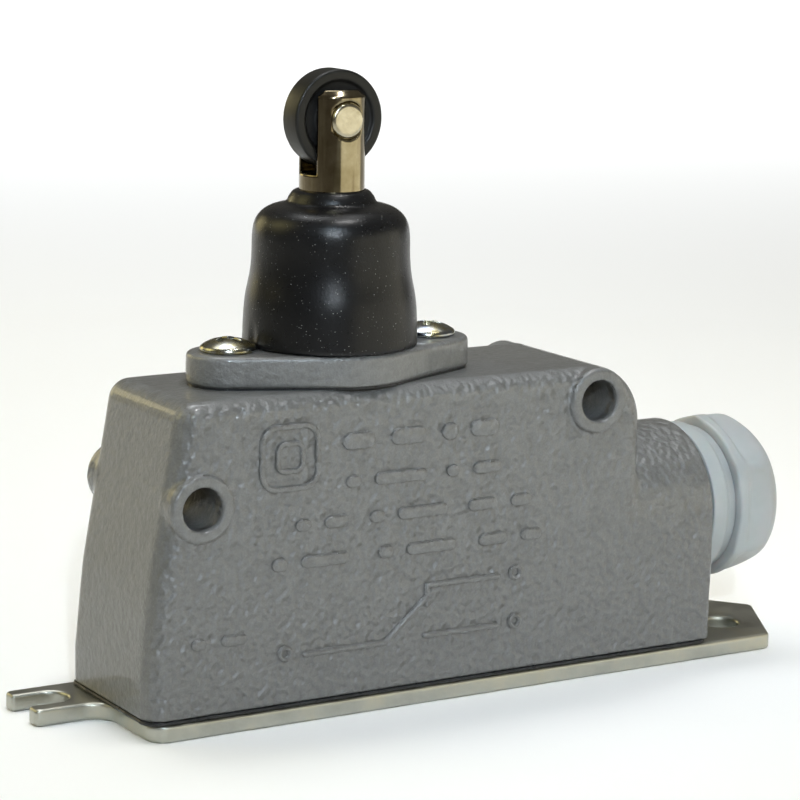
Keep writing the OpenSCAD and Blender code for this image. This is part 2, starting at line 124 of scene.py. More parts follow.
def surface_nets(f, lo, hi, h):
    lo, hi = np.array(lo, float), np.array(hi, float)
    n = np.ceil((hi - lo) / h).astype(int) + 1
    ax = [lo[i] + h * np.arange(n[i]) for i in range(3)]
    val = np.empty(n, np.float32)
    yy, zz = np.meshgrid(ax[1], ax[2], indexing="ij")
    chunk = max(1, int(400000 / yy.size))
    for i in range(0, n[0], chunk):
        xs = ax[0][i : i + chunk]
        X = np.broadcast_to(xs[:, None, None], (len(xs),) + yy.shape)
        val[i : i + chunk] = f(X, np.broadcast_to(yy, X.shape), np.broadcast_to(zz, X.shape))
    val[np.abs(val) < 1e-6] = 1e-6
    inside = val < 0
    c = [slice(0, -1), slice(1, None)]
    corner = {(a, b, d): inside[c[a], c[b], c[d]] for a in (0, 1) for b in (0, 1) for d in (0, 1)}
    total = sum(v.astype(np.int8) for v in corner.values())
    active = (total > 0) & (total < 8)
    idx = -np.ones(active.shape, np.int64)
    cells = np.argwhere(active)
    idx[tuple(cells.T)] = np.arange(len(cells))
    acc = np.zeros((len(cells), 3))
    cnt = np.zeros(len(cells))
    offs = list(corner)
    for p in offs:
        for axis in range(3):
            if p[axis] == 0:
                q = list(p)
                q[axis] = 1
                a = val[tuple((cells + np.array(p)).T)].astype(float)
                b = val[tuple((cells + np.array(q)).T)].astype(float)
                m = (a < 0) != (b < 0)
                t = np.where(m, a / np.where(m, a - b, 1), 0)
                pos = np.tile(np.array(p, float), (len(cells), 1))
                pos[:, axis] = t
                acc[m] += pos[m]
                cnt[m] += 1
    verts = lo + h * (cells + acc / cnt[:, None])
    quads = []
    for axis in range(3):
        a, b = (axis + 1) % 3, (axis + 2) % 3
        s0 = [slice(None)] * 3
        s1 = [slice(None)] * 3
        s0[axis], s1[axis] = slice(0, -1), slice(1, None)
        e = inside[tuple(s0)] != inside[tuple(s1)]
        pts = np.argwhere(e)
        ok = np.ones(len(pts), bool)
        for o in (a, b):
            ok &= (pts[:, o] > 0) & (pts[:, o] < n[o] - 1)
        pts = pts[ok]
        flip = inside[tuple(pts.T)]
        ring = []
        for da, db in ((-1, -1), (0, -1), (0, 0), (-1, 0)):
            q = pts.copy()
            q[:, a] += da
            q[:, b] += db
            ring.append(idx[tuple(q.T)])
        ring = np.stack(ring, 1)
        ring[~flip] = ring[~flip][:, ::-1]
        quads.append(ring[(ring >= 0).all(1)])
    return verts, np.concatenate(quads)


def on_field(f, v, steps=3, e=0.02, limit=0.5):
    start = v.copy()
    for _ in range(steps):
        d = f(v[:, 0], v[:, 1], v[:, 2])
        g = np.stack(
            [
                f(v[:, 0] + e * (k == 0), v[:, 1] + e * (k == 1), v[:, 2] + e * (k == 2))
                - f(v[:, 0] - e * (k == 0), v[:, 1] - e * (k == 1), v[:, 2] - e * (k == 2))
                for k in range(3)
            ],
            1,
        ) / (2 * e)
        s = (g * g).sum(1)
        move = -g * (d / np.maximum(s, 0.25))[:, None]
        v = v + np.clip(move, -0.3, 0.3)
    off = v - start
    length = np.linalg.norm(off, axis=1)
    far = length > limit
    v[far] = start[far] + off[far] * (limit / length[far])[:, None]
    return v


def new_object(name, verts, faces, scale=MM, smooth=True):
    me = bpy.data.meshes.new(name)
    verts = np.asarray(verts, np.float64) * scale
    faces = np.asarray(faces)
    if faces.dtype != object and faces.ndim == 2:
        me.vertices.add(len(verts))
        me.vertices.foreach_set("co", verts.astype(np.float32).ravel())
        k = faces.shape[1]
        me.loops.add(faces.size)
        me.loops.foreach_set("vertex_index", faces.astype(np.int32).ravel())
        me.polygons.add(len(faces))
        me.polygons.foreach_set("loop_start", np.arange(0, faces.size, k, dtype=np.int32))
        me.update(calc_edges=True)
    else:
        me.from_pydata([tuple(v) for v in verts], [], [tuple(int(i) for i in f) for f in faces])
        me.update()
    me.validate()
    if smooth:
        me.polygons.foreach_set("use_smooth", np.ones(len(me.polygons), bool))
    o = bpy.data.objects.new(name, me)
    scene.collection.objects.link(o)
    return o


def relax(v, quads, times, f, weight=0.5):
    """Evens out the net along the surface, then puts it back on the field."""
    if not times:
        return v
    a = np.concatenate([quads[:, 0], quads[:, 1], quads[:, 2], quads[:, 3]])
    b = np.concatenate([quads[:, 1], quads[:, 2], quads[:, 3], quads[:, 0]])
    n = len(v)
    deg = np.bincount(a, minlength=n) + np.bincount(b, minlength=n)
    for _ in range(times):
        s = np.stack(
            [np.bincount(a, v[b, k], n) + np.bincount(b, v[a, k], n) for k in range(3)], 1
        ) / np.maximum(deg, 1)[:, None]
        v = v + (s - v) * weight
        v = on_field(f, v, 1)
    return v


def field_object(name, f, lo, hi, h, relaxed=2):
    v, q = surface_nets(f, lo, hi, h)
    v = on_field(f, v, 2)
    v = relax(v, q, relaxed, f)
    v = on_field(f, v, 2)
    return new_object(name, v, q)


def lathe(name, profile, axis="z", centre=(0, 0, 0), steps=96, closed=False, rounds=()):
    """Turns a profile of (radius, height) points about an axis."""
    n = len(profile)
    verts, faces = [], []
    cx, cy, cz = centre
    for i in range(steps):
        a = 2 * math.pi * i / steps
        c, s = math.cos(a), math.sin(a)
        for r, h in profile:
            if axis == "z":
                verts.append((cx + r * c, cy + r * s, cz + h))
            elif axis == "y":
                verts.append((cx + r * s, cy + h, cz + r * c))
            else:
                verts.append((cx + h, cy + r * c, cz + r * s))
    last = n if closed else n - 1
    for i in range(steps):
        j = (i + 1) % steps
        for k in range(last):
            m = (k + 1) % n
            faces.append((i * n + k, j * n + k, j * n + m, i * n + m))
    o = new_object(name, np.array(verts), np.array(faces))
    bm = bmesh.new()
    bm.from_mesh(o.data)
    bmesh.ops.remove_doubles(bm, verts=bm.verts, dist=1e-7)
    bmesh.ops.recalc_face_normals(bm, faces=bm.faces)
    bm.to_mesh(o.data)
    bm.free()
    o.data.polygons.foreach_set("use_smooth", np.ones(len(o.data.polygons), bool))
    return o


def soft_profile(points, r, n=5):
    """Rounds the corners of an open or closed profile by about r, with n points each."""
    pts = [Vector(p) for p in points]
    out = []
    for i, p in enumerate(pts):
        a, b = pts[i - 1], pts[(i + 1) % len(pts)]
        ra = r[i] if isinstance(r, (list, tuple)) else r
        la, lb = (a - p).length, (b - p).length
        if ra <= 0 or la < 1e-6 or lb < 1e-6:
            out.append(tuple(p))
            continue
        d = min(ra, la * 0.45, lb * 0.45)
        pa, pb = p + (a - p) * (d / la), p + (b - p) * (d / lb)
        for k in range(n + 1):
            t = k / n
            q = pa * (1 - t) ** 2 + p * 2 * t * (1 - t) + pb * t * t
            out.append((q.x, q.y))
    return out


def sharp(o, angle=35):
    me = o.data
    me.update()
    bm = bmesh.new()
    bm.from_mesh(me)
    lim = math.radians(angle)
    for e in bm.edges:
        e.smooth = not (len(e.link_faces) == 2 and e.calc_face_angle(0) > lim)
    bm.to_mesh(me)
    bm.free()
    return o


# ---------------------------------------------------------------- materials
class Mat:
    """A small helper round a node tree."""

    def __init__(self, name):
        self.m = bpy.data.materials.new(name)
        self.m.use_nodes = True
        self.t = self.m.node_tree
        self.b = self.t.nodes["Principled BSDF"]
        self.co = self.t.nodes.new("ShaderNodeTexCoord").outputs["Object"]

    def node(self, kind, **props):
        n = self.t.nodes.new(kind)
        for k, v in props.items():
            setattr(n, k, v)
        return n

    def link(self, a, b):
        self.t.links.new(a, b)

    def noise(self, scale, detail=3.0, rough=0.5, distortion=0.0, co=None, stretch=None):
        n = self.node("ShaderNodeTexNoise")
        n.inputs["Scale"].default_value = scale
        n.inputs["Detail"].default_value = detail
        n.inputs["Roughness"].default_value = rough
        n.inputs["Distortion"].default_value = distortion
        src = co or self.co
        if stretch:
            mp = self.node("ShaderNodeMapping")
            mp.inputs["Scale"].default_value = stretch
            self.link(src, mp.inputs["Vector"])
            src = mp.outputs[0]
        self.link(src, n.inputs["Vector"])
        return n.outputs["Fac"]

    def voronoi(self, scale, feature="SMOOTH_F1", smooth=1.0, rand=1.0, co=None):
        n = self.node("ShaderNodeTexVoronoi", feature=feature)
        n.inputs["Scale"].default_value = scale
        if feature == "SMOOTH_F1":
            n.inputs["Smoothness"].default_value = smooth
        n.inputs["Randomness"].default_value = rand
        self.link(co or self.co, n.inputs["Vector"])
        return n.outputs["Distance"]

    def ramp(self, fac, stops, interp="LINEAR"):
        n = self.node("ShaderNodeValToRGB")
        n.color_ramp.interpolation = interp
        e = n.color_ramp.elements
        while len(e) < len(stops):
            e.new(0.5)
        for el, (pos, col) in zip(e, stops):
            el.position = pos
            el.color = (*col, 1) if isinstance(col, (tuple, list)) and len(col) == 3 else (col, col, col, 1)
        self.link(fac, n.inputs["Fac"])
        return n.outputs["Color"]

    def mix(self, fac, a, b, blend="MIX"):
        n = self.node("ShaderNodeMix", data_type="RGBA", blend_type=blend)
        for sock, v in ((n.inputs[0], fac), (n.inputs[6], a), (n.inputs[7], b)):
            if hasattr(v, "links") or isinstance(v, bpy.types.NodeSocket):
                self.link(v, sock)
            elif isinstance(v, (int, float)):
                sock.default_value = v if sock == n.inputs[0] else (v, v, v, 1)
            else:
                sock.default_value = (*v, 1)
        return n.outputs[2]

    def math(self, op, a, b=0.0, c=None):
        n = self.node("ShaderNodeMath", operation=op)
        for i, v in enumerate((a, b) if c is None else (a, b, c)):
            if isinstance(v, bpy.types.NodeSocket):
                self.link(v, n.inputs[i])
            else:
                n.inputs[i].default_value = v
        return n.outputs[0]

    def map(self, v, a, b, c, d):
        n = self.node("ShaderNodeMapRange")
        self.link(v, n.inputs["Value"])
        n.inputs["From Min"].default_value = a
        n.inputs["From Max"].default_value = b
        n.inputs["To Min"].default_value = c
        n.inputs["To Max"].default_value = d
        return n.outputs["Result"]

    def bump(self, height, distance, strength=1.0, normal=None):
        n = self.node("ShaderNodeBump")
        n.inputs["Strength"].default_value = strength
        n.inputs["Distance"].default_value = distance
        self.link(height, n.inputs["Height"])
        if normal is not None:
            self.link(normal, n.inputs["Normal"])
        return n.outputs["Normal"]

    def set(self, **kw):
        for k, v in kw.items():
            sock = self.b.inputs[k.replace("_", " ")]
            if isinstance(v, bpy.types.NodeSocket):
                self.link(v, sock)
            else:
                sock.default_value = (*v, 1) if isinstance(v, tuple) and len(v) == 3 else v
        return self.m


def hammer_paint():
    m = Mat("hammer_paint")
    # leathery dimples about 0.7 mm across over broader waves
    warp = m.node("ShaderNodeMix", data_type="VECTOR")
    nz = m.node("ShaderNodeTexNoise")
    nz.inputs["Scale"].default_value = 900
    nz.inputs["Detail"].default_value = 2
    m.link(m.co, nz.inputs["Vector"])
    warp.inputs[0].default_value = 0.0004
    m.link(m.co, warp.inputs[4])
    m.link(nz.outputs["Color"], warp.inputs[5])
    v = warp.outputs[1]
    cells = m.voronoi(760, smooth=0.9, co=v)
    leather = m.noise(930, 0.6, 0.4)
    broad = m.noise(230, 1.0, 0.5)
    fine = m.noise(1700, 1.0, 0.4)
    xyz = m.node("ShaderNodeSeparateXYZ")
    m.link(m.co, xyz.inputs[0])
    depth = m.math("ABSOLUTE", xyz.outputs[1])
    face = m.math("MULTIPLY", m.map(depth, 0.0121, 0.0134, 0.0, 1.0), m.map(xyz.outputs[2], 0.0492, 0.0503, 1.0, 0.0))
    # smoother on whatever stands proud of the face: bosses, bars and diagram
    face = m.math("MULTIPLY", face, m.map(depth, 0.01400, 0.01425, 1.0, 0.3))
    face = m.math("MAXIMUM", face, m.map(xyz.outputs[0], 0.0500, 0.0515, 0.0, 0.8))
    n = m.bump(broad, 0.0007, 0.3)
    n = m.bump(m.math("MULTIPLY", leather, m.map(face, 0.0, 1.0, 0.14, 1.0)), 0.00086, 0.95, n)
    n = m.bump(m.math("MULTIPLY", cells, m.map(face, 0.0, 1.0, 0.12, 1.0)), 0.00045, 0.6, n)
    n = m.bump(m.math("MULTIPLY", fine, face), 0.00010, 0.45, n)
    sand = m.noise(1050, 5.0, 0.62)
    n = m.bump(m.math("MULTIPLY", sand, m.map(face, 0.0, 1.0, 1.0, 0.12)), 0.00032, 0.8, n)
    tint = m.noise(330, 3.0, 0.6)
    col = m.ramp(tint, [(0.3, (0.146, 0.147, 0.144)), (0.7, (0.166, 0.167, 0.163))])
    # painted shade: the colour is darkened in the hollows of the leather grain
    dimple_shade = m.ramp(leather, [(0.3, 0.90), (0.62, 1.04)])
    col = m.mix(1.0, col, dimple_shade, "MULTIPLY")
    speck = m.noise(3600, 2.0, 0.6)
    col = m.mix(1.0, col, m.ramp(speck, [(0.35, 0.90), (0.65, 1.08)]), "MULTIPLY")
    # painted shade: a little darker towards the foot
    col = m.mix(1.0, col, m.ramp(m.map(xyz.outputs[2], 0.003, 0.034, 0.0, 1.0), [(0.0, 0.82), (1.0, 1.0)]), "MULTIPLY")
    rough = m.map(tint, 0.3, 0.75, 0.34, 0.46)
    return m.set(Base_Color=col, Roughness=rough, Normal=n, Metallic=0.12, Coat_Weight=0.6, Coat_Roughness=0.065)


def rubber(name="rubber", base=(0.0045, 0.0046, 0.0052), dust=True):
    m = Mat(name)
    grain = m.noise(2600, 4.0, 0.6)
    cloud = m.noise(160, 3.0, 0.55)
    col = m.ramp(cloud, [(0.3, tuple(c * 0.8 for c in base)), (0.75, tuple(c * 1.5 for c in base))])
    rough = m.map(m.noise(900, 2.0, 0.5), 0.3, 0.7, 0.27, 0.31)
    if dust:
        spec = m.voronoi(1850, "F1", rand=1.0)
        pick = m.noise(260, 1.0, 0.5)
        size = m.map(pick, 0.28, 0.65, 0.05, 0.15)
        dots = m.math("LESS_THAN", spec, size)
        film = m.ramp(m.noise(45, 4.0, 0.65), [(0.5, 0.0), (0.85, 0.12)])
        col = m.mix(dots, col, m.ramp(m.noise(700, 1.0, 0.5), [(0.4, (0.05, 0.05, 0.05)), (0.62, (0.26, 0.26, 0.25))]))
        col = m.mix(film, col, (0.06, 0.058, 0.055))
    n = m.bump(grain, 0.00006, 0.5)
    n = m.bump(cloud, 0.0002, 0.12, n)
    return m.set(Base_Color=col, Roughness=rough, Normal=n, Specular_IOR_Level=0.32)


def nickel():
    m = Mat("nickel")
    cloud = m.noise(260, 4.0, 0.6)
    lines = m.noise(900, 2.0, 0.5, stretch=(1, 1, 0.05))
    pits = m.voronoi(900, "F1")
    col = m.ramp(cloud, [(0.25, (0.20, 0.165, 0.09)), (0.55, (0.31, 0.27, 0.18)), (0.8, (0.43, 0.39, 0.29))])
    # painted reflection: dark vertical bands stand in for dark surroundings mirrored in the plating
    dark_reflection_band = m.noise(420, 3.0, 0.6, stretch=(1, 1, 0.07))
    col = m.mix(m.ramp(dark_reflection_band, [(0.46, 0.0), (0.60, 0.55)]), col, (0.105, 0.072, 0.038))
    col = m.mix(m.ramp(pits, [(0.02, 0.5), (0.09, 0.0)]), col, (0.07, 0.055, 0.03))
    rough = m.map(cloud, 0.25, 0.8, 0.08, 0.2)
    n = m.bump(lines, 0.00003, 0.35)
    return m.set(Base_Color=col, Roughness=rough, Normal=n, Metallic=1.0)


def zinc(name="zinc", warm=0.5, rough0=0.26, rough1=0.44, tone=1.0):
    m = Mat(name)
    cloud = m.noise(120, 5.0, 0.62)
    fine = m.noise(1800, 2.0, 0.5)
    spangle = m.voronoi(260, "F1")
    a, b, c = [tuple(v * tone for v in k) for k in (
        (0.62, 0.62, 0.60 - 0.06 * warm), (0.74, 0.72 - 0.02 * warm, 0.66 - 0.12 * warm), (0.50, 0.50, 0.48 - 0.04 * warm),
    )]
    col = m.ramp(cloud, [(0.3, c), (0.5, a), (0.72, b)])
    rough = m.map(cloud, 0.3, 0.75, rough0, rough1)
    n = m.bump(fine, 0.00002, 0.3)
    n = m.bump(spangle, 0.00008, 0.12, n)
    return m.set(Base_Color=col, Roughness=rough, Normal=n, Metallic=1.0)


def passivated():
    m = Mat("passivated_zinc")
    cloud = m.noise(420, 3.0, 0.55)
    fine = m.noise(1800, 2.0, 0.5)
    scuff = m.noise(1400, 4.0, 0.7, stretch=(1, 0.2, 1))
    col = m.ramp(cloud, [(0.30, (0.30, 0.34, 0.42)), (0.45, (0.42, 0.43, 0.41)), (0.60, (0.33, 0.30, 0.18)), (0.75, (0.24, 0.21, 0.12))])
    col = m.mix(m.ramp(scuff, [(0.60, 0.0), (0.72, 0.6)]), col, (0.20, 0.19, 0.15))
    n = m.bump(fine, 0.00002, 0.3)
    n = m.bump(scuff, 0.00005, 0.3, n)
    return m.set(Base_Color=col, Roughness=m.map(cloud, 0.3, 0.75, 0.17, 0.31), Normal=n, Metallic=1.0)


def gland_plastic():
    m = Mat("gland_plastic")
    cloud = m.noise(180, 3.0, 0.5)
    fine = m.noise(2400, 3.0, 0.55)
    col = m.ramp(cloud, [(0.3, (0.345, 0.365, 0.37)), (0.75, (0.395, 0.415, 0.42))])
    n = m.bump(fine, 0.00003, 0.35)
    return m.set(Base_Color=col, Roughness=0.42, Normal=n, Subsurface_Weight=0.08, Specular_IOR_Level=0.5)


def nylon():
    m = Mat("nylon")
    cloud = m.noise(300, 3.0, 0.55)
    turned = m.noise(1100, 2.0, 0.5, stretch=(0.2, 1, 0.2))
    col = m.ramp(cloud, [(0.3, (0.006, 0.006, 0.0055)), (0.8, (0.014, 0.013, 0.011))])
    n = m.bump(turned, 0.00004, 0.4)
    # the dished web inside the rim is duller than the running face, and darker in colour as painted shade in the
    # recess
    xyz = m.node("ShaderNodeSeparateXYZ")
    m.link(m.co, xyz.inputs[0])
    dx, dz = xyz.outputs[0], m.math("SUBTRACT", xyz.outputs[2], 0.0896)
    web = m.map(m.math("SQRT", m.math("ADD", m.math("MULTIPLY", dx, dx), m.math("MULTIPLY", dz, dz))), 0.0054, 0.0061, 1.0, 0.0)
    rough = m.math("ADD", m.map(cloud, 0.3, 0.7, 0.34, 0.46), m.math("MULTIPLY", web, 0.22))
    # painted shade: the web inside the recess is darkened
    col = m.mix(web, col, (0.003, 0.003, 0.003))
    return m.set(Base_Color=col, Roughness=rough, Normal=n, Specular_IOR_Level=0.32)


def simple_metal(name, a, b, rough=(0.2, 0.4), scale=300):
    m = Mat(name)
    cloud = m.noise(scale, 4.0, 0.6)
    fine = m.noise(2000, 2.0, 0.5)
    col = m.ramp(cloud, [(0.3, a), (0.75, b)])
    n = m.bump(fine, 0.00002, 0.3)
    return m.set(Base_Color=col, Roughness=m.map(cloud, 0.3, 0.7, *rough), Normal=n, Metallic=1.0)


def moulding(name, a, b, rough=0.45):
    m = Mat(name)
    cloud = m.noise(400, 3.0, 0.6)
    fine = m.noise(2400, 2.0, 0.5)
    col = m.ramp(cloud, [(0.35, a), (0.7, b)])
    n = m.bump(fine, 0.00003, 0.3)
    return m.set(Base_Color=col, Roughness=rough, Normal=n)


PAINT = hammer_paint()
RUBBER = rubber()
GASKET = rubber("gasket_rubber", (0.016, 0.017, 0.018), dust=False)
NICKEL = nickel()
PIN = simple_metal("pin_steel", (0.40, 0.36, 0.26), (0.66, 0.62, 0.50), (0.16, 0.30), 620)
PLATE = zinc("plate_zinc", warm=0.9, rough0=0.29, rough1=0.47, tone=0.72)
SCREW = passivated()
GLAND = gland_plastic()
NYLON = nylon()
BRONZE = simple_metal("bronze", (0.52, 0.36, 0.16), (0.70, 0.52, 0.26))
BRASS = simple_metal("brass", (0.62, 0.46, 0.18), (0.80, 0.62, 0.28), (0.18, 0.36))
SPRING = simple_metal("spring_wire", (0.22, 0.22, 0.22), (0.42, 0.42, 0.41), (0.22, 0.4))
SILVER = simple_metal("silver", (0.72, 0.72, 0.70), (0.88, 0.87, 0.84), (0.15, 0.3))
PHENOLIC = moulding("phenolic", (0.020, 0.012, 0.008), (0.045, 0.026, 0.018))
RED = moulding("red_moulding", (0.36, 0.02, 0.015), (0.48, 0.035, 0.025), 0.35)


def finish_piece(o, material, body, slot, *nodes):
    o.data.materials.clear()
    o.data.materials.append(material)
    if body:
        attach(o, body)
    if nodes:
        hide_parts(*nodes)
    return o


# ---------------------------------------------------------------- housing
LEFT, RIGHT, TALL, TOP, FOOT, GZ = -37.7, 64.8, 50.0, 50.2, 3.3, 23.8
H1, H2 = (-29.1, 34.8), (40.7, 45.1)


def half_depth(z):
    return 13.95 - 0.45 * (z - FOOT) / (TOP - FOOT)


def left_end(z):
    return LEFT + 0.09 * np.maximum(z - 9.0, 0) + 0.085 * (z - 22.0 + np.sqrt((z - 22.0) ** 2 + 4.0)) * 0.5


def housing_field(x, y, z):
    ay = np.abs(y)
    # side outline
    side = rmax((left_end(z) - x) * 0.985, z - TOP, 2.8)
    side = rmax(side, x - TALL, 9.4)
    depth = ay - half_depth(z)
    k = 2.6 + 0.7 * (1 - step01(x, -34, -24))
    tall = rmax(side, depth, k)
    # foot and gland boss
    tomb = np.where(z > GZ, np.hypot(y, z - GZ) - half_depth(GZ), ay - half_depth(z))
    block = rmax(tomb, seg(30.0, RIGHT - 0.25 * step01(z, 16, 9), x), 1.0)
    block = np.maximum(block, z - GZ - 15)
    # a fillet inside, a plain join where the two share the broad faces
    body = rmin(tall, block, 0.03 + 1.27 * step01(-depth, 0.2, 1.8))
    body = rmax(body, FOOT - z, 0.35)
    # mounting bosses
    for cx, cz in (H1, H2):
        d = np.hypot(x - cx, z - cz)
        # a rounded rim, proud of the face at each end
        rim = np.hypot(np.maximum(d - 4.55, 0), np.maximum(ay - 14.05, 0)) - 0.62
        rim = np.maximum(rim, np.where(ay > 10.6, -100, 10.6 - ay))
        body = rmin(body, rim, 0.28)
    # inside
    wall = 2.6
    inner = np.maximum(side, depth) + wall
    inner = np.maximum(inner, -1000)
    low_in = np.maximum(np.maximum(seg(40, RIGHT - wall, x), ay - 11.2), z - 11.2)
    inner = np.minimum(inner, low_in)
    body = rmax(body, -inner, 0.3)
    for cx, cz in (H1, H2):
        body = rmin(body, cyl_y(x, y, z, 4.5, -12.2, 12.2, cx, cz), 0.4)
    pill = None
    for cx, r, z1 in ((-31.0, 3.8, 17.0), (59.4, 3.4, 11.8)):
        for cy in (-9.0, 9.0):
            d = np.maximum(np.hypot(x - cx, y - cy) - r, seg(FOOT + 0.01, z1, z))
            pill = d if pill is None else np.minimum(pill, d)
    for cx in (-17.4, 17.4):
        pill = np.minimum(pill, cyl_z(x, y, z, 4.4, 39, TOP - 1, 0, cx))
    for cx in (-17.0, 17.0):
        pill = np.minimum(pill, cyl_y(x, y, z, 3.2, 9.65, 12.5, cx, 28.5))
    pill = np.minimum(pill, cyl_y(x, y, z, 4.6, 6.8, 12.5, 38, 20))
    body = rmin(body, pill, 0.4)
    # bores
    for cx, cz in (H1, H2):
        body = rmax(body, 3.3 - np.hypot(x - cx, z - cz), 0.35)
    body = rmax(body, -cyl_z(x, y, z, 8.0, 40, 60), 0.2)
    body = rmax(body, -cyl_x(x, y, z, 10.1, 46, 70, GZ), 0.3)
    for cx in (-17.4, 17.4):
        body = np.maximum(body, -cyl_z(x, y, z, 2.4, 41, 60, 0, cx))
    for cx in (-31.0, 59.4):
        for cy in (-9.0, 9.0):
            body = np.maximum(body, -cyl_z(x, y, z, 1.9, 0, FOOT + 6.5, 0, cx, cy))
    for cx in (-17.0, 17.0):
        body = np.maximum(body, -cyl_y(x, y, z, 1.45, 6, 12.6, cx, 28.5))
    body = np.maximum(body, -cyl_y(x, y, z, 1.9, 6, 12.6, 38, 20))
    return body


FINE = 0.42
housing = field_object("housing_casting", housing_field, (-38, -15.5, 2.4), (66.2, 15.5, 50.6), FINE)
finish_piece(housing, PAINT, "switch_body", "grey_paint", "housing")


# relief on the front face: low rounded ridges laid on the casting
def front_y(x, z):
    return -half_depth(z)


def ridge(points, width=0.75, height=0.3, name="relief"):
    """A rounded ridge along a polyline of (x, z) points on the front face."""
    pts = [Vector((p[0], p[1])) for p in points]
    dense = [pts[0]]
    for a, b in zip(pts, pts[1:]):
        n = max(2, int((b - a).length / 0.5))
        dense += [a + (b - a) * (i / n) for i in range(1, n + 1)]
    w = width / 2
    e = min(1.0, 0.42 / w)
    prof = [(-1.0, -0.4), (-1.0 + 0.22 * e, 0.42), (-1.0 + 0.6 * e, 0.86), (-1.0 + e, 1.0), (1.0 - e, 1.0), (1.0 - 0.6 * e, 0.86), (1.0 - 0.22 * e, 0.42), (1.0, -0.4)]
    verts, faces = [], []
    m = len(dense)

    def ring(c, t, s, k):
        n = Vector((-t.y, t.x))
        for u, h in prof:
            q = c + n * (u * w * s)
            verts.append((q.x, front_y(q.x, q.y) - h * height * k, q.y))

    t0 = (dense[1] - dense[0]).normalized()
    t1 = (dense[-1] - dense[-2]).normalized()
    for i in range(5):
        a = math.pi / 2 * i / 5
        ring(dense[0] - t0 * (w * math.cos(a)), t0, max(math.sin(a), 0.02), 0.25 + 0.75 * math.sin(a) if i else 0.0)
    for i, c in enumerate(dense):
        a = dense[max(i - 1, 0)]
        b = dense[min(i + 1, m - 1)]
        ring(c, (b - a).normalized(), 1.0, 1.0)
    for i in range(4, -1, -1):
        a = math.pi / 2 * i / 5
        ring(dense[-1] + t1 * (w * math.cos(a)), t1, max(math.sin(a), 0.02), 0.25 + 0.75 * math.sin(a) if i else 0.0)
    n = len(prof)
    rings = len(verts) // n
    for i in range(rings - 1):
        for k in range(n):
            j = (k + 1) % n
            faces.append((i * n + k, i * n + j, (i + 1) * n + j, (i + 1) * n + k))
    faces.append(tuple(range(n)))
    faces.append(tuple((rings - 1) * n + k for k in reversed(range(n))))
    return verts, faces


def arc(cx, cz, r, a0, a1, n=40):
    return [
        (cx + r * math.cos(math.radians(a0 + (a1 - a0) * i / n)), cz + r * math.sin(math.radians(a0 + (a1 - a0) * i / n)))
        for i in range(n + 1)
    ]


def rounded_loop(x0, x1, z0, z1, r):
    pts = []
    for cx, cz, a in ((x1 - r, z1 - r, 0), (x0 + r, z1 - r, 90), (x0 + r, z0 + r, 180), (x1 - r, z0 + r, 270)):
        pts += arc(cx, cz, r, a, a + 90, 8)
    return pts + [pts[0]]


RIDGES = []
# changeover contact diagram
RIDGES += [([(-11.6, 10.7), (2.4, 10.7), (10.4, 17.6)], 1.1, 0.6)]
RIDGES += [([(9.8, 15.9), (9.8, 18.8), (22.6, 18.8)], 1.1, 0.6)]
RIDGES += [([(9.6, 10.9), (22.4, 10.9)], 1.1, 0.6)]
for cx, cz in ((-15.0, 11.2), (26.0, 11.2), (26.0, 19.0)):
    RIDGES += [(arc(cx, cz, 0.9, 0, 360, 16), 0.9, 0.55)]
# blank badge
RIDGES += [(rounded_loop(-19.0, -9.6, 36.4, 45.8, 2.4), 1.1, 0.6)]
RIDGES += [(rounded_loop(-16.4, -12.2, 39.0, 43.2, 1.2), 1.0, 0.55)]
# blank bars where lettering would be
ROWS = [
    (42.6, 2.8, [(-5.2, 0.2), (3.2, 9.2), (12.2, 14.6), (17.4, 22.4)]),
    (36.4, 2.1, [(-4.6, -2.2), (0.4, 9.4), (13.2, 15.2), (18.0, 22.8)]),
    (30.6, 2.1, [(-13.2, -10.8), (-8.2, -4.4), (-0.4, 2.0), (4.6, 13.2), (17.2, 22.2), (25.0, 28.6)]),
    (24.9, 2.1, [(-17.2, -14.8), (-12.2, -4.2), (1.2, 3.6), (6.2, 14.8), (19.2, 24.2), (27.0, 30.6)]),
]
for z, w, spans in ROWS:
    for a, b in spans:
        k = w / 2 - 0.15
        RIDGES += [([(a + k, z), (b - k, z)], w, 0.6)] if b - a > 2 * k + 0.2 else [([(a + k, z), (a + k + 0.2, z)], w, 0.6)]
RIDGES += [([(-29.8, 14.4), (-29.2, 14.4)], 1.9, 0.55), ([(-24.8, 14.4), (-22.4, 14.4)], 1.9, 0.55)]
verts, faces = [], []
for pts, w, h in RIDGES:
    v, f = ridge(pts, w, h)
    base = len(verts)
    verts += v
    faces += [tuple(i + base for i in q) for q in f]
relief = new_object("housing_relief", np.array(verts), np.array([None] + faces, dtype=object)[1:])
bm = bmesh.new()
bm.from_mesh(relief.data)
bmesh.ops.recalc_face_normals(bm, faces=bm.faces)
bm.to_mesh(relief.data)
bm.free()
relief.data.polygons.foreach_set("use_smooth", np.ones(len(relief.data.polygons), bool))
finish_piece(relief, PAINT, "switch_body", "grey_paint")


# ---------------------------------------------------------------- head
F0, F1, FX = 50.45, 55.2, 17.6


def lozenge2(x, y, rm, rl, k=6.0):
    s = (rm - rl) / FX
    c = math.sqrt(1 - s * s)
    ax, ay = np.abs(x), np.abs(y)
    # distance to the convex hull of the middle circle and the lobe
    t = (ax * c - (ay) * s) / 1.0
    line = ax * s + ay * c - rm
    lo = -0.0
    along = ax * c - ay * s
    mid = np.hypot(ax, ay) - rm
    lobe = np.hypot(ax - FX, ay) - rl
    return np.where(along < 0, mid, np.where(along > FX * c, lobe, line))


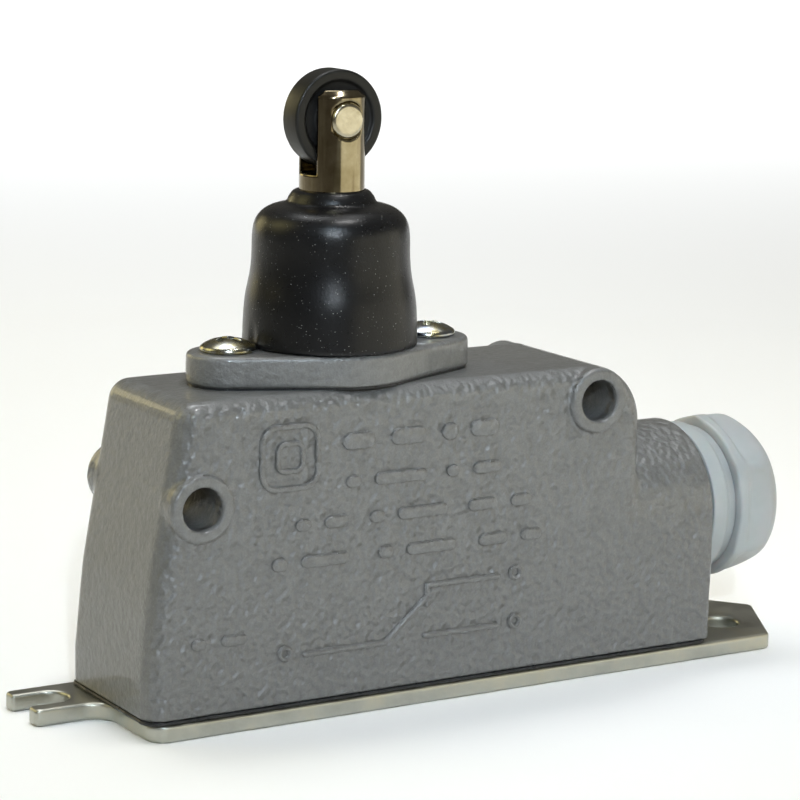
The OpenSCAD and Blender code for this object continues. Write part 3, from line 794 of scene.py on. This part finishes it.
def flange_field(x, y, z):
    d = lozenge2(x, y, 13.35, 6.3)
    plate = rmax(d - 0.12 * (F1 - z) / 5.2, seg(F0, F1, z), 0.75)
    r = np.hypot(x, y)
    spigot = np.maximum(r - 11.1, seg(F1 - 1, F1 + 4, z))
    body = np.minimum(plate, spigot)
    body = np.maximum(body, 7.05 - r)
    for cx in (-FX, FX):
        body = np.maximum(body, 2.6 - np.hypot(x - cx, y))
    return body


flange = field_object("head_flange_casting", flange_field, (-25.5, -15, 49.2), (25.5, 15, 60.2), 0.34)
finish_piece(flange, PAINT, "switch_body", "grey_paint", "head_flange")


def screw_field(cx, cy, z0, turn):
    ct, st = math.cos(turn), math.sin(turn)

    def f(x, y, z):
        u, v, w = x - cx, y - cy, z - z0
        r = np.hypot(u, v)
        # domed head
        R = 7.2
        dome = np.sqrt(r * r + (w - (2.15 - R)) ** 2) - R
        head = rmax(np.maximum(dome, -w), r - 4.32, 0.3)
        a, b = u * ct + v * st, -u * st + v * ct
        # the recess tapers to a point
        taper = 0.32 * (2.2 - w)
        cross = np.minimum(
            np.maximum(np.abs(a) - (2.3 - taper), np.abs(b) - (0.62 - taper * 0.35)),
            np.maximum(np.abs(b) - (2.3 - taper), np.abs(a) - (0.62 - taper * 0.35)),
        )
        cross = np.maximum(cross, 0.6 - w)
        head = rmax(head, -cross, 0.12)
        shank = np.maximum(r - 2.3, seg(-12, 0.5, w))
        return np.minimum(head, shank)

    return f


parts = []
for i, (cx, turn) in enumerate(((-FX, 0.35), (FX, 0.9))):
    v, q = surface_nets(screw_field(cx, 0, F1, turn), (cx - 5, -5, F1 - 13), (cx + 5, 5, F1 + 3.4), 0.16)
    f = screw_field(cx, 0, F1, turn)
    v = on_field(f, v, 2)
    v = relax(v, q, 1, f)
    parts.append((v, q))
sv = np.concatenate([p[0] for p in parts])
sq = np.concatenate([parts[0][1], parts[1][1] + len(parts[0][0])])
screws = new_object("head_screws_domed", sv, sq)
finish_piece(screws, SCREW, "switch_body", "zinc_screw", "head_screws")

# ---------------------------------------------------------------- boot
BOOT_OUT = [
    (13.2, 0.12), (13.45, 0.45), (13.42, 1.6), (13.38, 3.0), (13.3, 4.6), (13.18, 6.2), (12.98, 7.7), (12.7, 9.1),
    (12.45, 10.4), (12.27, 11.6), (12.16, 12.9), (12.1, 14.2), (12.08, 15.6), (12.03, 16.9), (11.88, 18.0),
    (11.55, 19.0), (10.98, 19.85), (10.2, 20.52), (9.3, 21.0), (8.3, 21.3), (7.55, 21.48), (7.05, 21.7),
    (6.78, 22.0), (6.62, 22.35), (6.42, 22.7), (6.2, 23.0), (5.95, 23.3), (5.6, 23.53), (5.2, 23.66),
]
BOOT_IN = [
    (5.04, 23.56), (5.04, 22.0), (5.3, 20.9), (6.3, 20.25), (7.8, 19.8), (9.2, 19.0), (10.0, 17.6), (10.3, 14.5),
    (10.6, 11.0), (11.3, 7.0), (11.45, 3.3), (11.2, 2.0), (11.45, 0.9), (11.6, 0.12),
]


def smooth_curve(pts, n):
    """A centripetal-like spline through points, with n steps between them."""
    out = []
    P = [np.array(p, float) for p in pts]
    for i in range(len(P) - 1):
        p0, p1, p2, p3 = P[max(i - 1, 0)], P[i], P[i + 1], P[min(i + 2, len(P) - 1)]
        for k in range(n):
            t = k / n
            out.append(
                0.5 * ((2 * p1) + (p2 - p0) * t + (2 * p0 - 5 * p1 + 4 * p2 - p3) * t * t + (3 * p1 - p0 - 3 * p2 + p3) * t**3)
            )
    out.append(P[-1])
    return [tuple(p) for p in out]


boot = lathe("boot_rubber", smooth_curve(BOOT_OUT, 3) + smooth_curve(BOOT_IN, 2), "z", (0, 0, F1), 144, closed=True)
for vert in boot.data.vertices:
    c = vert.co
    fade = min(1.0, max(0.0, (F1 + 4.6 - c.z / MM) / 2.2))
    for sx in (-FX, FX):
        dx, dy = c.x / MM - sx, c.y / MM
        d = math.hypot(dx, dy)
        if fade > 0 and d < 4.4:
            k = (d + (4.4 - d) * fade) / d
            c.x, c.y = (sx + dx * k) * MM, dy * k * MM
boot.data.materials.clear()
boot.data.materials.append(RUBBER)
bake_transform(boot)
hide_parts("boot")

# ---------------------------------------------------------------- plunger
FT, RZ, RR, RW, FW = 94.1, 89.6, 7.5, 4.4, 5.2
FLOOR = RZ - RR - 0.75


def plunger_field(x, y, z):
    r = np.hypot(x, y)
    rod = rmax(r - 5.0, seg(40.3, FT, z), 0.15)
    rod = smax(rod, (r - 5.0 + z - FT + 0.98) * 0.7071, 0.12)
    slot = np.maximum(np.abs(y) - FW / 2, FLOOR - z)
    body = rmax(rod, -slot, 0.22)
    hole = np.hypot(x, z - RZ)
    body = rmax(body, 1.8 - hole, 0.15)
    body = rmax(body, -np.maximum(hole - 2.95, 4.25 - np.abs(y)), 0.12)
    for z0 in (74.3, 43.4):
        body = np.maximum(body, -np.maximum(4.2 - r, seg(z0, z0 + 0.9, z)))
    return body


plunger = field_object("plunger_fork", plunger_field, (-5.6, -5.6, 39.8), (5.6, 5.6, 94.6), 0.2)
finish_piece(plunger, NICKEL, "plunger", "nickel", "plunger")

# springs: one closed coil at each end
def coil(name, mean_r, wire, z0, z1, turns):
    length = z1 - z0 - wire
    steps, sides = int(turns * 28), 10
    verts, faces = [], []
    for i in range(steps + 1):
        t = turns * i / steps
        rise = float(np.interp(t, [0, 0.2, 1.1, turns - 1.1, turns - 0.2, turns], [0, 0, wire, length - wire, length, length]))
        a = 2 * math.pi * t
        for k in range(sides):
            b = 2 * math.pi * k / sides
            r = mean_r + wire / 2 * math.cos(b)
            verts.append((r * math.cos(a), r * math.sin(a), z0 + wire / 2 + rise + wire / 2 * math.sin(b)))
    for i in range(steps):
        for k in range(sides):
            m = (k + 1) % sides
            faces.append((i * sides + k, (i + 1) * sides + k, (i + 1) * sides + m, i * sides + m))
    faces.append(tuple(range(sides)))
    faces.append(tuple(steps * sides + k for k in reversed(range(sides))))
    o = new_object(name, np.array(verts), np.array([None] + faces, dtype=object)[1:])
    bm = bmesh.new()
    bm.from_mesh(o.data)
    bmesh.ops.recalc_face_normals(bm, faces=bm.faces)
    bm.to_mesh(o.data)
    bm.free()
    o.data.polygons.foreach_set("use_smooth", np.ones(len(o.data.polygons), bool))
    o.data.materials.append(SPRING)
    return o


SPIGOT = 59.2
spring = coil("return_spring_coil", 6.9, 1.1, SPIGOT + 1.33, F1 + 19.05, 6.5)
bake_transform(spring)
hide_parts("return_spring")
small = coil("button_spring_coil", 1.9, 0.6, 11, 22, 8)
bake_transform(small)
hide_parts("button_spring")

# roller: dished sides, rounded rim
prof = soft_profile(
    [
        (2.52, -2.2), (3.7, -2.2), (4.0, -1.7), (5.6, -1.7), (6.0, -2.2), (7.5, -2.2),
        (7.5, 2.2), (6.0, 2.2), (5.6, 1.7), (4.0, 1.7), (3.7, 2.2), (2.52, 2.2),
    ],
    [0.12, 0.2, 0.3, 0.3, 0.3, 0.5, 0.5, 0.3, 0.3, 0.3, 0.2, 0.12],
    5,
)
roller = lathe("roller_wheel", prof, "y", (0, 0, RZ), 128, closed=True)
finish_piece(roller, NYLON, "roller", "black_nylon", "roller")

# peened pin
end = [(0.0, 4.93), (0.8, 4.93), (1.6, 4.94), (2.05, 4.93), (2.35, 4.88), (2.55, 4.76), (2.64, 4.56), (2.62, 4.36), (2.4, 4.28), (1.75, 4.27)]
prof = [(r, -h) for r, h in end] + [(r, h) for r, h in reversed(end)]
pin = lathe("roller_pin_peened", prof, "y", (0, 0, RZ), 64)
finish_piece(pin, PIN, "plunger", "nickel", "roller_pin")

# ---------------------------------------------------------------- gland
XR = 64.8


def nut_field(x, y, z):
    w = x - XR - 5.6
    zz = z - GZ
    r = np.hypot(y, zz)
    ay, az = np.abs(y), np.abs(zz)
    d = smax(ay - 12.1, ay * 0.5 + az * 0.8660254 - 12.1, 0.9)
    d = smax(d, r - 13.75, 0.35)
    d = smax(d, ((r - 13.8) * 2.2 + (w - 5.6)) / 2.417, 0.8)
    d = smax(d, ((r - 12.9) * 1.6 + (w - 7.6) * 1.7) / 2.335, 0.9)
    d = smax(d, w - 9.4, 0.9)
    # round foot next to the collar
    foot = smax(np.hypot(np.maximum(r - 12.75, 0), np.maximum(np.abs(w - 1.1) - 0.5, 0)) - 0.6, -w, 0.2)
    d = rmin(d, foot, 0.9)
    d = smax(d, -w, 0.3)
    d = np.maximum(d, np.where(w > 6.8, -100, 9.9 - r))
    return smax(d, 6.6 - r, 0.7)


nut = field_object("gland_nut_hex", nut_field, (69.4, -14.6, 9.2), (81, 14.6, 38.4), 0.3)
finish_piece(nut, GLAND, "switch_body", "gland_grey", "gland_nut")

prof = soft_profile(
    [
        (6.5, -14.0), (10.0, -14.0), (10.0, 0.6), (12.85, 0.6), (12.85, 3.4), (12.2, 3.9), (12.1, 5.5), (9.8, 5.5),
        (6.5, 5.4),
    ],
    [0.1, 0.3, 0.1, 0.35, 0.4, 0.3, 0.2, 0.1, 0.2],
    4,
)
gbody = lathe("gland_body_collar", prof, "x", (XR, 0, GZ), 112, closed=True)
finish_piece(gbody, GLAND, "switch_body", "gland_grey", "gland_body")

prof = soft_profile(
    [(5.0, 0.8), (6.38, 0.8), (6.38, 5.55), (8.1, 5.55), (8.1, 12.3), (5.0, 12.3)],
    [0.3, 0.2, 0.1, 0.3, 0.6, 0.6], 4,
)
insert = lathe("gland_insert_rubber", prof, "x", (XR, 0, GZ), 80, closed=True)
finish_piece(insert, GASKET, "switch_body", "black_rubber", "gland_insert")

# ---------------------------------------------------------------- base plate
PT = 2.7


def poly2(x, y, pts):
    """Signed distance to a polygon."""
    d = np.full(np.shape(x), 1e9)
    s = np.ones(np.shape(x))
    n = len(pts)
    for i in range(n):
        ax, ay = pts[i]
        bx, by = pts[i - 1]
        ex, ey = bx - ax, by - ay
        wx, wy = x - ax, y - ay
        t = np.clip((wx * ex + wy * ey) / (ex * ex + ey * ey), 0, 1)
        d = np.minimum(d, (wx - ex * t) ** 2 + (wy - ey * t) ** 2)
        c1, c2, c3 = y >= ay, y < by, ex * wy > ey * wx
        flip = (c1 & c2 & c3) | (~c1 & ~c2 & ~c3)
        s = np.where(flip, -s, s)
    return s * np.sqrt(d)


def plate2(x, y):
    r = 1.6
    main = box2(x, y, 14.0, 0, 50.9, 14.0, 3.0)
    nose = poly2(x, y, [(55, -12.4), (75.9, -12.4), (83.9, 2.3), (76.0, 12.4), (55, 12.4)]) - r
    tongue = box2(x, y, -37.0, 8.0, 11.35, 5.9, 0.9)
    d = np.minimum(main, nose)
    # a fillet in front of the tongue, none along the straight rear edge
    d = rmin(d, tongue, 0.05 + 3.95 * step01(11.0 - y, 0.0, 5.0))
    # open slot
    slot = np.where(x > -43.6, np.hypot(x + 43.6, y - 8.0) - 3.0, np.abs(y - 8.0) - 3.0)
    d = rmax(d, -slot, 0.5)
    d = np.maximum(d, 3.3 - np.hypot(x - 73.8, y + 4.2))
    return d


def plate_field(x, y, z):
    d = plate2(x, y)
    body = rmax(d, seg(0.0, PT, z), 0.5)
    for cx in (-31.0, 59.4):
        for cy in (-9.0, 9.0):
            r = np.hypot(x - cx, y - cy)
            body = np.maximum(body, 2.2 - r)
            body = np.maximum(body, (4.1 - z - r) * 0.7071)
    return body


plate = field_object("base_plate_steel", plate_field, (-49.4, -15, -0.7), (87.0, 15, 3.4), 0.36)
finish_piece(plate, PLATE, "switch_body", "zinc_plate", "base_plate")


def gasket_field(x, y, z):
    wob = 0.5 * np.sin(x * 0.9 + 1.3 * y) + 0.5 * np.sin(x * 2.1 - y)
    out = box2(x, y, 13.55, 0, 51.3, 13.98, 2.9) - 0.07 * wob
    body = rmax(out, seg(PT + 0.02, FOOT - 0.02, z), 0.15)
    inner = box2(x, y, 14.05, 0, 46.85, 9.8, 3.0)
    for cx in (-31.0, 59.4):
        for cy in (-9.0, 9.0):
            inner = np.maximum(inner, 4.4 - np.hypot(x - cx, y - cy))
            body = np.maximum(body, 2.2 - np.hypot(x - cx, y - cy))
    return np.maximum(body, -inner)


gasket = field_object("base_gasket_sheet", gasket_field, (-38.4, -15.2, 2.3), (66.2, 15.2, 3.7), 0.3)
finish_piece(gasket, GASKET, "switch_body", "black_rubber", "base_gasket")

# ---------------------------------------------------------------- CAD nodes that stay
KEEP = {
    "base_screws": SCREW, "head_gasket": GASKET, "guide_bush": BRONZE, "roller_bush": BRONZE,
    "spring_seat": SPRING, "stop_clip": SPRING, "gland_seal": GASKET, "gland_cage": GLAND,
    "contact_base": PHENOLIC, "contact_cover": PHENOLIC, "contact_screws": SCREW, "button": RED,
    "common_terminal": BRASS, "nc_terminal": BRASS, "no_terminal": BRASS,
    "fixed_tips": SILVER, "blade": BRASS, "blade_tips": SILVER, "terminal_clamps": SCREW,
    "terminal_screws": SCREW, "earth_washer": BRASS, "earth_screw": BRONZE,
}
for name, material in KEEP.items():
    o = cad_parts[name]
    o.data.materials.clear()
    o.data.materials.append(material)

# ---------------------------------------------------------------- stage and light
floor_me = bpy.data.meshes.new("floor")
S = 3.0
floor_me.from_pydata([(-S, -S, 0), (S, -S, 0), (S, S, 0), (-S, S, 0)], [], [(0, 1, 2, 3)])
floor = bpy.data.objects.new("floor", floor_me)
scene.collection.objects.link(floor)
fm = bpy.data.materials.new("floor")
fm.use_nodes = True
fb = fm.node_tree.nodes["Principled BSDF"]
fb.inputs["Base Color"].default_value = (0.93, 0.93, 0.92, 1)
fb.inputs["Roughness"].default_value = 0.8
floor_me.materials.append(fm)

world = bpy.data.worlds.new("world")
scene.world = world
world.use_nodes = True
bg = world.node_tree.nodes["Background"]
bg.inputs["Color"].default_value = (1.0, 0.95, 0.82, 1)
bg.inputs["Strength"].default_value = 0.13


def area(name, loc, target, size, power, color=(1, 1, 1), size_y=None, spread=180):
    data = bpy.data.lights.new(name, "AREA")
    data.energy = power
    data.color = color
    data.shape = "RECTANGLE"
    data.size = size
    data.size_y = size_y or size
    data.spread = math.radians(spread)
    o = bpy.data.objects.new(name, data)
    scene.collection.objects.link(o)
    o.location = Vector(loc)
    d = Vector(target) - Vector(loc)
    o.rotation_euler = d.to_track_quat("-Z", "Y").to_euler()
    o.visible_camera = False
    return o


area("key", (-0.28, -0.62, 0.66), (0.025, 0, 0.05), 0.22, 0.085, (0.70, 0.86, 1.0), spread=34)
area("flash", (-0.30, -0.66, 0.38), (0.025, 0, 0.055), 0.02, 0.072, (0.80, 0.90, 1.0), spread=28)
area("left", (-0.66, 0.42, 0.52), (0, 0, 0.04), 0.85, 0.40, (1.0, 0.885, 0.40), spread=50)
area("rim", (-0.22, 0.80, 0.22), (0.0, 0, 0.06), 0.34, 0.10, (1.0, 0.86, 0.45), spread=60)
area("panel", (0.25, -0.25, 0.08), (0.0, 0, 0.08), 0.66, 0.38, (1.0, 0.95, 0.76), size_y=0.15)
area("tube", (0.15, -0.17, 0.95), (0.02, 0.0, 0.05), 0.36, 0.33, size_y=0.03, spread=60)
area("backdrop", (1.1, 2.05, 2.2), (1.1, 2.05, 0), 3.2, 58.0, (0.96, 0.98, 1.0), spread=74)

scene.view_settings.view_transform = "Standard"
